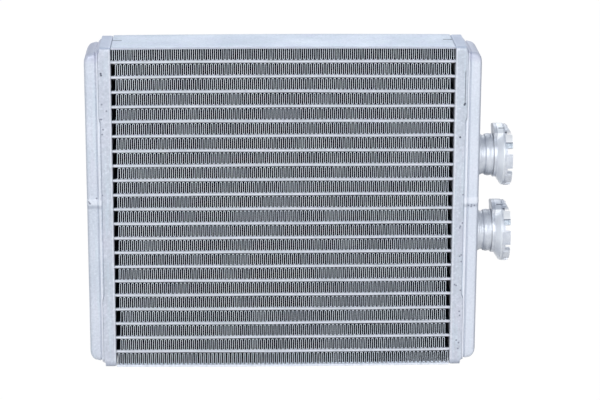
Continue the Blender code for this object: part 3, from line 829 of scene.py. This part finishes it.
class Finish:
    """Node material that reads object coordinates."""

    def __init__(self, name, metallic):
        self.material = bpy.data.materials.new(name)
        self.material.use_nodes = True
        self.tree = self.material.node_tree
        self.shader = self.tree.nodes["Principled BSDF"]
        self.shader.inputs["Metallic"].default_value = metallic
        self.place = self.tree.nodes.new("ShaderNodeTexCoord").outputs["Object"]

    def link(self, source, target):
        """Join an output to an input."""
        self.tree.links.new(source, target)

    def stretched(self, scale):
        """Object coordinates scaled differently along each axis."""
        node = self.tree.nodes.new("ShaderNodeMapping")
        node.inputs["Scale"].default_value = scale
        self.link(self.place, node.inputs["Vector"])
        return node.outputs["Vector"]

    def noise(self, scale, detail, stretch=(1, 1, 1)):
        """Grey noise, scale in cells per metre."""
        node = self.tree.nodes.new("ShaderNodeTexNoise")
        node.inputs["Scale"].default_value = scale
        node.inputs["Detail"].default_value = detail
        node.inputs["Roughness"].default_value = NOISE_ROUGHNESS
        self.link(self.stretched(stretch), node.inputs["Vector"])
        return node.outputs["Fac"]

    def ramp(self, value, low, high, start=0.0, end=1.0):
        """Value mapped from low..high to start..end and held beyond."""
        return ramp(self.tree, value, low, high, start, end)

    def blend(self, share, first, second):
        """Colour between two, each an RGB tuple or an output."""
        node = self.tree.nodes.new("ShaderNodeMix")
        node.data_type = "RGBA"
        self.link(share, node.inputs["Factor"])
        for value, socket in ((first, node.inputs["A"]), (second, node.inputs["B"])):
            if isinstance(value, tuple):
                socket.default_value = (*value, 1.0)
            else:
                self.link(value, socket)
        return node.outputs["Result"]

    def maths(self, operation, *values):
        """Number worked out from numbers or outputs."""
        return maths(self.tree, operation, *values)

    def specks(self, centres, radius, soft):
        """1 within a radius of any of the centres, falling to 0 over a soft edge."""
        total = None
        for centre in centres:
            node = self.tree.nodes.new("ShaderNodeVectorMath")
            node.operation = "DISTANCE"
            self.link(self.place, node.inputs[0])
            node.inputs[1].default_value = centre
            spot = self.ramp(node.outputs["Value"], radius, radius + soft, 1.0, 0.0)
            total = spot if total is None else self.maths("MAXIMUM", total, spot)
        return total

    def along(self, axis):
        """Object coordinate along an axis."""
        split = self.tree.nodes.new("ShaderNodeSeparateXYZ")
        self.link(self.place, split.inputs["Vector"])
        return split.outputs[axis]

    def depth(self):
        """Distance behind the nearer face of the matrix."""
        return self.maths("SUBTRACT", matrix_face, self.maths("ABSOLUTE", self.along("Y")))

    def band(self, axis, place, half, soft, strength=1.0):
        """Strength where a coordinate is within half a width of a place, falling over a soft edge.

        The axis is X, Y or Z. As |X| it counts on both sides of the middle, and as -X on the
        far one.
        """
        value = self.along(axis.strip("|-"))
        if "|" in axis:
            value = self.maths("ABSOLUTE", value)
        if "-" in axis:
            value = self.maths("MULTIPLY", value, -1.0)
        away = self.maths("ABSOLUTE", self.maths("SUBTRACT", value, place))
        return self.ramp(away, half, half + soft, strength, 0.0)

    def dim_shine(self, share):
        """Let the metal lose its shine where a share is 1, so that painted shade stays dark."""
        metallic = self.shader.inputs["Metallic"]
        self.link(self.ramp(share, 0.0, 1.0, metallic.default_value, 0.0), metallic)
        shine = self.shader.inputs["Specular IOR Level"]
        self.link(self.ramp(share, 0.0, 1.0, shine.default_value, 0.0), shine)

    def finish(self, colour, roughness, heights):
        """Connect colour, roughness and a chain of bumps given as (height, distance)."""
        self.link(colour, self.shader.inputs["Base Color"])
        self.link(roughness, self.shader.inputs["Roughness"])
        normal = None
        for height, distance in heights:
            node = self.tree.nodes.new("ShaderNodeBump")
            node.inputs["Distance"].default_value = distance
            self.link(height, node.inputs["Height"])
            if normal is not None:
                self.link(normal, node.inputs["Normal"])
            normal = node.outputs["Normal"]
        if normal is not None:
            self.link(normal, self.shader.inputs["Normal"])
        return self.material


def drawn_sheet(name, light, cool, warm, light_bands=(), slit=(), marks=(), scratches_and_shade=()):
    """Pale brazed sheet: cloudy tints, faint lines and streaks along Z, fine grain and a mottle.

    A band is (axis, place, half width, soft edge, colour, strength): a stripe where a coordinate
    is near a place, a painted highlight as on a ridge, or painted shade as in a crease or along an
    edge. A slit is two bands, and the metal is painted dark where both run, as painted shadow in
    the slit. Marks are dark spots, and scratches and shade spots are smaller and fainter ones.
    """
    make = Finish(name, 0.3)
    clouds = make.noise(38, 4)
    tints = make.noise(90, 3, (1, 1, 0.4))
    lines = make.noise(900, 2, (1, 1, 0.03))
    grain = make.noise(2600, 2)
    colour = make.blend(make.ramp(clouds, 0.35, 0.65), light, cool)
    colour = make.blend(make.ramp(tints, 0.45, 0.75, 0.0, 0.6), colour, warm)
    dull = tuple(value * 0.8 for value in cool)
    colour = make.blend(make.ramp(lines, 0.5, 0.8, 0.0, 0.35), colour, dull)
    colour = make.blend(make.ramp(grain, 0.58, 0.8, 0.0, 0.45), colour, dull)
    streaks = make.noise(420, 2, (1, 1, 0.07))
    colour = make.blend(make.ramp(streaks, 0.52, 0.68, 0.0, 0.45), colour, (0.60, 0.69, 0.76))
    mottle = make.noise(720, 3)
    colour = make.blend(make.ramp(mottle, 0.52, 0.72, 0.0, 0.5), colour, dull)
    colour = make.blend(make.ramp(mottle, 0.46, 0.30, 0.0, 0.35), colour, (0.86, 0.89, 0.95))
    # Each band paints a highlight or shade onto the sheet's colour
    for axis, place, half, soft, tint, strength in light_bands:
        colour = make.blend(make.band(axis, place, half, soft, strength), colour, tint)
    if marks:
        colour = make.blend(make.specks(marks, 0.0004, 0.0004), colour, (0.08, 0.09, 0.13))
    # Faint dark spots: real scratches on the headers, painted shade beside the caps' bead
    if scratches_and_shade:
        colour = make.blend(make.specks(scratches_and_shade, 0.0003, 0.0004), colour, (0.24, 0.26, 0.33))
    # Painted shadow inside a slit, where both bands run
    if slit:
        inside = make.maths("MULTIPLY", make.band(*slit[0]), make.band(*slit[1]))
        colour = make.blend(inside, colour, (0.05, 0.06, 0.09))
    rough = make.ramp(make.maths("ADD", clouds, tints), 0.7, 1.3, 0.42, 0.62)
    return make.finish(colour, rough, [(lines, 0.00004), (grain, 0.00006), (clouds, 0.0002)])


def foil(name):
    """Fin foil: bright edges, and cloudy legs darkened by painted shade towards the middle."""
    make = Finish(name, 0.5)
    clouds = make.noise(55, 4)
    spots = make.noise(700, 2)
    depth = make.depth()
    cloudy = make.ramp(clouds, 0.35, 0.65)
    edge = make.blend(cloudy, (0.77, 0.84, 0.94), (0.86, 0.93, 1.0))
    edge = make.blend(make.ramp(spots, 0.66, 0.78, 0.0, 0.5), edge, (0.50, 0.53, 0.58))
    # Painted shade deep between the fins, blended in from 0.2 mm behind the front
    painted_shade = make.blend(cloudy, (0.005, 0.008, 0.017), (0.012, 0.017, 0.031))
    inside = make.ramp(depth, 0.0002, 0.0005)
    colour = make.blend(inside, edge, painted_shade)
    make.dim_shine(inside)
    rough = make.ramp(clouds, 0.3, 0.7, 0.45, 0.65)
    return make.finish(colour, rough, [(spots, 0.00004)])


def tube_sheet(name):
    """Tube metal: pale cloudy noses with small dents, dark with painted shade deep between the
    fins.
    """
    make = Finish(name, 0.5)
    clouds = make.noise(70, 4)
    dents = make.noise(420, 2, (1, 0.2, 0.2))
    depth = make.depth()
    nose = make.blend(make.ramp(clouds, 0.35, 0.65), (0.57, 0.60, 0.65), (0.68, 0.70, 0.76))
    nose = make.blend(make.ramp(dents, 0.55, 0.75, 0.0, 0.6), nose, (0.50, 0.53, 0.60))
    # Painted shade on the tube deep between the fins
    inside = make.ramp(depth, 0.0006, 0.0013)
    colour = make.blend(inside, nose, (0.010, 0.013, 0.021))
    make.dim_shine(inside)
    rough = make.ramp(clouds, 0.3, 0.7, 0.42, 0.6)
    return make.finish(colour, rough, [(dents, 0.00008)])


port_heights = [port_height(port) for port in ("lower", "upper")]


def port_places(make):
    """Outputs for the ports: x, level and radius measured from the nearer port's axis, and side.

    The side is 1 on the upper port and 0 on the lower one.
    """
    y = make.along("Y")
    lower_axis, upper_axis = port_heights
    level = make.maths("SUBTRACT", make.along("Z"), lower_axis)
    on_upper = make.maths("GREATER_THAN", level, (upper_axis - lower_axis) / 2)
    above = make.maths("MULTIPLY", on_upper, upper_axis - lower_axis)
    level = make.maths("SUBTRACT", level, above)
    squares = make.maths("ADD", make.maths("MULTIPLY", level, level), make.maths("MULTIPLY", y, y))
    return make.along("X"), level, make.maths("SQRT", squares), on_upper


def lug_line(turn, radius, first, last):
    """Points in a line along X on the front of each lug, at degrees above the port's axis."""
    y, z = -radius * math.cos(math.radians(turn)), radius * math.sin(math.radians(turn))
    return [(crown_start + reach, y, height + z) for height in port_heights
            for reach in np.linspace(first, last, 6)]


def turned_metal(name):
    """Bright turned metal with fine rings across X, a soft mottle and dull grain.

    The neck has painted shade beneath. The cone behind each crown has a painted highlight, and
    the upper walls inside its ring are painted light. A painted shade line marks the end of the
    hub, the teeth have painted highlights and shade on their faces, the lower lug is dull, and
    each lug has a painted shadow in the notch in front of it and a dark line on its front.
    """
    make = Finish(name, 0.4)
    rings = make.noise(4200, 2, (1, 0.02, 0.02))
    mottle = make.noise(260, 3)
    grain = make.noise(1500, 2)
    colour = make.blend(make.ramp(mottle, 0.4, 0.65), (0.67, 0.70, 0.75), (0.57, 0.60, 0.66))
    colour = make.blend(make.ramp(grain, 0.6, 0.8, 0.0, 0.4), colour, (0.42, 0.45, 0.51))
    x, level, radius, on_upper = port_places(make)

    # Painted shade under the neck
    on_neck = make.ramp(x, crown_start - 0.0006, crown_start - 0.0002, 1.0, 0.0)
    shade_beneath = make.maths("MULTIPLY", on_neck, make.ramp(level, -0.003, -0.011, 0.0, 0.6))
    colour = make.blend(shade_beneath, colour, (0.30, 0.33, 0.38))
    hub_end = crown_start + CROWN_HUB_LENGTH
    half_cone = CROWN_CONE_LENGTH / 2
    # Painted highlight on the cone behind the crown
    cone_highlight = make.band("X", hub_end + half_cone, half_cone, 0.0003)
    colour = make.blend(cone_highlight, colour, (0.94, 0.97, 1.0))
    # Painted shade line where the hub meets the cone
    hub_end_shade = make.band("X", hub_end - 0.0003, 0.0001, 0.0003, 0.5)
    colour = make.blend(hub_end_shade, colour, (0.30, 0.33, 0.40))

    on_teeth = make.ramp(x, crown_start + 0.0062, crown_start + 0.0066)
    # Painted highlights and painted shade on the faces of the teeth, by level
    for low, high, tint, strength in TOOTH_LIGHT_AND_SHADE:
        half = (high - low) / 2
        away = make.maths("ABSOLUTE", make.maths("SUBTRACT", level, low + half))
        on_face = make.ramp(away, half, half + 0.0002, strength, 0.0)
        colour = make.blend(make.maths("MULTIPLY", on_teeth, on_face), colour, tint)
    on_lower = make.maths("SUBTRACT", 1.0, on_upper)
    on_lug = make.maths("MULTIPLY", make.ramp(level, 0.0150, 0.0158), on_lower)
    colour = make.blend(make.maths("MULTIPLY", on_lug, 0.6), colour, (0.38, 0.42, 0.50))
    # Painted light on the walls inside the crown's ring
    floor = crown_start + CROWN_FLOOR
    inside = make.maths("MULTIPLY", make.ramp(radius, 0.0158, 0.0162, 1.0, 0.0),
                        make.ramp(x, floor, floor + 0.0004))
    inside = make.maths("MULTIPLY", inside, make.ramp(level, 0.004, 0.007, 1.0, 0.0))
    colour = make.blend(inside, colour, (0.94, 0.96, 1.0))
    # Painted shadow in the notch in front of each lug, then a fine dark line on its front
    for line, size, soft, tint in LUG_SHADOW_AND_MARKS:
        colour = make.blend(make.specks(lug_line(*line), size, soft), colour, tint)
    rough = make.ramp(mottle, 0.3, 0.7, 0.30, 0.46)
    return make.finish(colour, rough, [(rings, 0.00003), (grain, 0.00005)])


# Painted light and shade on the teeth as (lowest level, highest level, colour, strength)
TOOTH_LIGHT_AND_SHADE = [
    (0.0109, 0.0146, (1.0, 1.0, 1.0), 0.9), (0.0076, 0.0102, (0.50, 0.58, 0.64), 0.5),
    (0.0104, 0.0107, (0.12, 0.14, 0.18), 0.8), (-0.0154, -0.0151, (0.20, 0.22, 0.28), 0.6),
]

# Painted shadow and a dark line on the lugs as (line of points, size, soft edge, colour)
# The first row is the painted shadow in the notch, the second the fine dark line
LUG_SHADOW_AND_MARKS = [
    ((60, 0.0172, 0.0064, 0.0102), 0.0008, 0.0004, (0.08, 0.09, 0.12)),
    ((70, 0.0187, 0.0030, 0.0060), 0.0003, 0.0003, (0.16, 0.18, 0.22)),
]


def on_front(*places):
    """Points (x, z) laid on the front of the headers."""
    return [(x, -HALF_DEPTH, z) for x, z in places]


HEADER_MARKS = on_front(
    (-0.1057, 0.1803), (-0.1055, 0.1793), (0.1056, 0.1610), (0.1059, 0.1616), (0.1035, 0.1415))
HEADER_SCRATCHES = on_front(
    (-0.1063, bead_middle + 0.0049), (-0.1055, 0.1620), (-0.1028, 0.1581), (-0.1058, 0.1531),
    (-0.1064, 0.1531), (-0.1050, 0.1470), (-0.1056, 0.1441), (0.1060, 0.1066), (0.1060, 0.0892),
    (0.1048, 0.0872), (0.1045, 0.0862), (0.1057, 0.0694), (0.1048, 0.0686), (0.1058, 0.0653),
    (0.1022, 0.0509), (0.1031, 0.0504), (0.1057, 0.0473), (0.1053, 0.0341), (0.1056, 0.0316),
    (0.1039, 0.0159), (0.1053, 0.0143), (0.1050, 0.0106))

# Small dark spots beside the bead, painted shade, as (x, y, rise above the bead's middle)
CAP_SHADE_SPOTS = [(x, y, bead_middle + rise) for x, y, rise in (
    (-0.1145, -0.0182, 0.0009), (-0.1140, -0.0185, 0.0004), (-0.1134, -0.0187, -0.0002),
    (-0.1140, -0.0185, -0.0002), (-0.1097, -0.0180, 0.0029), (0.1112, -0.0181, -0.0023),
    (0.1110, -0.0180, -0.0033), (0.1093, -0.0180, -0.0026), (0.1129, -0.0180, -0.0026))]

ridge_middle = cap_ledge + RIDGE_WIDTH / 2
valley_middle = cap_ledge + RIDGE_WIDTH + VALLEY_WIDTH / 2
RIGHT_CAP_MIDDLE = 0.1120
# Painted highlights on ridges, right cap and bead; painted shade on edges, valleys, top, under bead
CAP_LIGHT_AND_SHADE = [
    ("|X|", cap_face, 0.0005, 0.0006, (0.44, 0.47, 0.54), 0.6),
    ("-X", ridge_middle, 0.0004, 0.0003, (0.90, 0.92, 0.97), 0.4),
    ("-X", valley_middle, 0.0003, 0.0005, (0.42, 0.45, 0.52), 0.2),
    ("X", RIGHT_CAP_MIDDLE, 0.0060, 0.0020, (0.80, 0.84, 0.92), 0.35),
    ("X", ridge_middle, 0.0004, 0.0003, (0.92, 0.94, 0.99), 0.5),
    ("X", valley_middle, 0.0004, 0.0006, (0.38, 0.41, 0.49), 0.35),
    ("X", cap_face, 0.0006, 0.0007, (0.34, 0.37, 0.44), 0.7),
    ("Z", 2 * middle - 0.0030, 0.0040, 0.0030, (0.50, 0.52, 0.64), 0.6),
    ("Z", bead_middle + 0.0006, 0.0012, 0.0010, (0.90, 0.92, 0.97), 0.4),
    ("Z", bead_middle - 0.0026, 0.0004, 0.0010, (0.36, 0.40, 0.48), 0.5),
]
# Painted highlight on the headers' inner bends, painted shade along their tops and bottoms
HEADER_LIGHT_AND_SHADE = [
    ("|X|", HALF_WIDTH + 0.0005, 0.0004, 0.0003, (0.90, 0.93, 0.98), 0.45),
    ("Z", 2 * middle, 0.0010, 0.0005, (0.50, 0.57, 0.72), 0.6),
    ("Z", 0.0, 0.0024, 0.0022, (0.36, 0.40, 0.48), 0.6),
]
# Painted shadow in a slit by the right header's rim
HEADER_SLIT_SHADOW = [("X", HALF_WIDTH + HEADER_RIM - 0.0005, 0.0001, 0.0003),
               ("Z", 0.1713, 0.0090, 0.0015, 0.7)]
# Painted shade along the plates' front and back edges
PLATE_EDGE_SHADE = [("|Y|", HALF_DEPTH, 0.00025, 0.0002, (0.44, 0.46, 0.53), 0.8)]
# Painted shadow inside the plates' slits
PLATE_SLIT_SHADOW = [("|X|", HALF_WIDTH, SLIT_LENGTH, 0.0002),
              ("Y", SLIT_SETBACK, SLIT_WIDTH / 2 + 0.0002, 0.0002, 0.6)]

tank_metal = drawn_sheet(
    "tank_metal", (0.66, 0.70, 0.78), (0.58, 0.63, 0.71), (0.68, 0.69, 0.77),
    CAP_LIGHT_AND_SHADE, scratches_and_shade=CAP_SHADE_SPOTS)
header_metal = drawn_sheet(
    "header_metal", (0.59, 0.62, 0.70), (0.52, 0.57, 0.64), (0.61, 0.61, 0.70),
    HEADER_LIGHT_AND_SHADE, HEADER_SLIT_SHADOW, HEADER_MARKS, HEADER_SCRATCHES)
plate_metal = drawn_sheet(
    "plate_metal", (0.75, 0.82, 0.93), (0.66, 0.74, 0.84), (0.75, 0.78, 0.92),
    PLATE_EDGE_SHADE, PLATE_SLIT_SHADOW)
bottom_metal = drawn_sheet(
    "bottom_metal", (0.84, 0.88, 0.94), (0.78, 0.82, 0.90), (0.86, 0.86, 0.94))
tube_metal = tube_sheet("tube_metal")
fin_metal = foil("fin_metal")
port_metal = turned_metal("port_metal")


# Pieces

def build():
    """Make every piece in the place of its CAD node."""
    rng = np.random.default_rng(7)
    for index in range(TUBE_COUNT):
        node = f"tube_{index + 1:02d}"
        piece(f"flat_{node}", flat_tube(*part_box(node), rng), tube_metal, "brazed_sheet", node)
    for index in range(TUBE_COUNT + 1):
        node = f"fin_{index + 1:02d}"
        low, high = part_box(node)
        piece(f"folded_{node}", fin_strip(low, high, rng), fin_metal, "fin_foil", node)
    plates = (("bottom_side_plate", -1, bottom_metal), ("top_side_plate", 1, plate_metal))
    for node, outward, metal in plates:
        plate = side_plate(*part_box(node), outward, rng)
        piece(f"{node}_sheet", plate, metal, "brazed_sheet", node)
    for node, sign in (("left_header", -1), ("right_header", 1)):
        piece(f"{node}_pan", header_pan(sign, rng), header_metal, "drawn_tank", node)
    piece("left_tank_cap_shell", drawn_cap(-1, rng), tank_metal, "drawn_tank", "left_tank_cap")
    right = drawn_cap(1, rng)
    for port in ("upper", "lower"):
        height = port_height(port)
        hole_radius = BORE_RADIUS + NECK_WALL + JOINT_GAP
        hole = rod(cap_face - HOLE_REACH, cap_face + HOLE_REACH, hole_radius, height)
        right = cut_away(right, hole)
        neck, crown = f"{port}_port_neck", f"{port}_port_crown"
        piece(f"{neck}_turned", port_neck(height), port_metal, "port_metal", neck)
        piece(f"{crown}_toothed", toothed_crown(height), port_metal, "port_metal", crown)
    piece("right_tank_cap_shell", right, tank_metal, "drawn_tank", "right_tank_cap")
    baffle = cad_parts["tank_baffle"]
    baffle.data.materials.clear()
    baffle.data.materials.append(plate_metal)


# Floor, light and camera

def mixed(tree, share, first, second, output):
    """Mix two shaders by a share and join the mix to a new output node."""
    mix = tree.nodes.new("ShaderNodeMixShader")
    for source, target in ((share, "Fac"), (first, 1), (second, 2)):
        tree.links.new(source, mix.inputs[target])
    tree.links.new(mix.outputs["Shader"], tree.nodes.new(output).inputs["Surface"])


def pale(name, colour, share):
    """Backdrop that looks white to the camera and in reflections and keeps a soft shadow."""
    material = bpy.data.materials.new(name)
    material.use_nodes = True
    tree = material.node_tree
    tree.nodes.clear()
    diffuse = tree.nodes.new("ShaderNodeBsdfDiffuse")
    diffuse.inputs["Color"].default_value = (*colour, 1.0)
    glow = tree.nodes.new("ShaderNodeEmission")
    glow.inputs["Strength"].default_value = BACKDROP_GLOW
    path = tree.nodes.new("ShaderNodeLightPath")
    most = maths(tree, "MAXIMUM", path.outputs["Is Camera Ray"], path.outputs["Is Glossy Ray"])
    both = maths(tree, "MAXIMUM", most, path.outputs["Is Transmission Ray"])
    mixed(tree, maths(tree, "MULTIPLY", both, share), diffuse.outputs["BSDF"],
          glow.outputs["Emission"], "ShaderNodeOutputMaterial")
    return material


def make_floor():
    """Wide disc under the object: radius times (cos, sin) of the angle."""
    angle = np.linspace(0, 2 * math.pi, FLOOR_POINTS, endpoint=False)
    points = np.stack([FLOOR_RADIUS * np.cos(angle), FLOOR_RADIUS * np.sin(angle),
                       np.full(FLOOR_POINTS, -FLOOR_SPACE)], axis=1)
    mesh = bpy.data.meshes.new("floor")
    mesh.from_pydata(points.tolist(), [], [list(range(FLOOR_POINTS))])
    mesh.materials.append(pale("pale_floor", (0.45, 0.45, 0.46), 0.96))
    floor = placed("floor", mesh)


def area_light(name, place, size, power):
    """Square soft light at a place, facing the middle of the core."""
    data = bpy.data.lights.new(name, "AREA")
    data.shape = "SQUARE"
    data.size = size
    data.energy = power
    item = placed(name, data)
    item.location = place
    view = Vector((0, 0, middle)) - Vector(place)
    item.rotation_euler = view.to_track_quat("-Z", "Y").to_euler()


def make_world():
    """White to the camera; to the metal a studio bright in front, greyer at the sides and above."""
    world = bpy.data.worlds.new("studio")
    bpy.context.scene.world = world
    world.use_nodes = True
    tree = world.node_tree
    tree.nodes.clear()
    make = tree.nodes.new
    split = make("ShaderNodeSeparateXYZ")
    tree.links.new(make("ShaderNodeTexCoord").outputs["Generated"], split.inputs["Vector"])
    x, y, z = (split.outputs[axis] for axis in "XYZ")
    level = ramp(tree, z, 0.35, 0.95, AIR_LEVEL, AIR_LEVEL * 0.45, "SMOOTHSTEP")
    sides = ((x, 0.55, 0.98, 1.0, 0.35), (x, -0.98, -0.55, 1.15, 1.0), (y, -0.2, 0.9, 1.0, 0.85))
    for side in sides:
        level = maths(tree, "MULTIPLY", level, ramp(tree, *side, "SMOOTHSTEP"))
    air, seen = make("ShaderNodeBackground"), make("ShaderNodeBackground")
    tint = make("ShaderNodeMix")
    tint.data_type = "RGBA"
    tint.inputs["A"].default_value = (0.94, 0.955, 1.0, 1.0)
    tint.inputs["B"].default_value = (0.76, 0.86, 1.0, 1.0)
    tree.links.new(ramp(tree, z, 0.2, 0.9, 0.0, 1.0, "SMOOTHSTEP"), tint.inputs["Factor"])
    tree.links.new(tint.outputs["Result"], air.inputs["Color"])
    tree.links.new(level, air.inputs["Strength"])
    path = make("ShaderNodeLightPath")
    rays = (path.outputs["Is Camera Ray"], path.outputs["Is Transmission Ray"])
    seen.inputs["Color"].default_value = (1.0, 1.0, 1.0, 1.0)
    mixed(tree, maths(tree, "MAXIMUM", *rays), air.outputs["Background"],
          seen.outputs["Background"], "ShaderNodeOutputWorld")


def make_camera():
    """Camera with a long lens."""
    data = bpy.data.cameras.new("camera")
    data.sensor_width = SENSOR_WIDTH
    data.lens = LENS
    data.clip_end = 50.0
    camera = placed("camera", data)
    camera.matrix_world = camera_matrix()
    bpy.context.scene.camera = camera


build()
make_floor()
make_world()
make_camera()
area_light("key", (-0.6, -2.0, 1.1), 1.6, 25)
area_light("fill", (1.5, -1.5, 0.7), 1.0, 11)
area_light("rim", (0.2, 1.6, 1.2), 1.2, 6)
bpy.context.scene.view_settings.view_transform = "Standard"
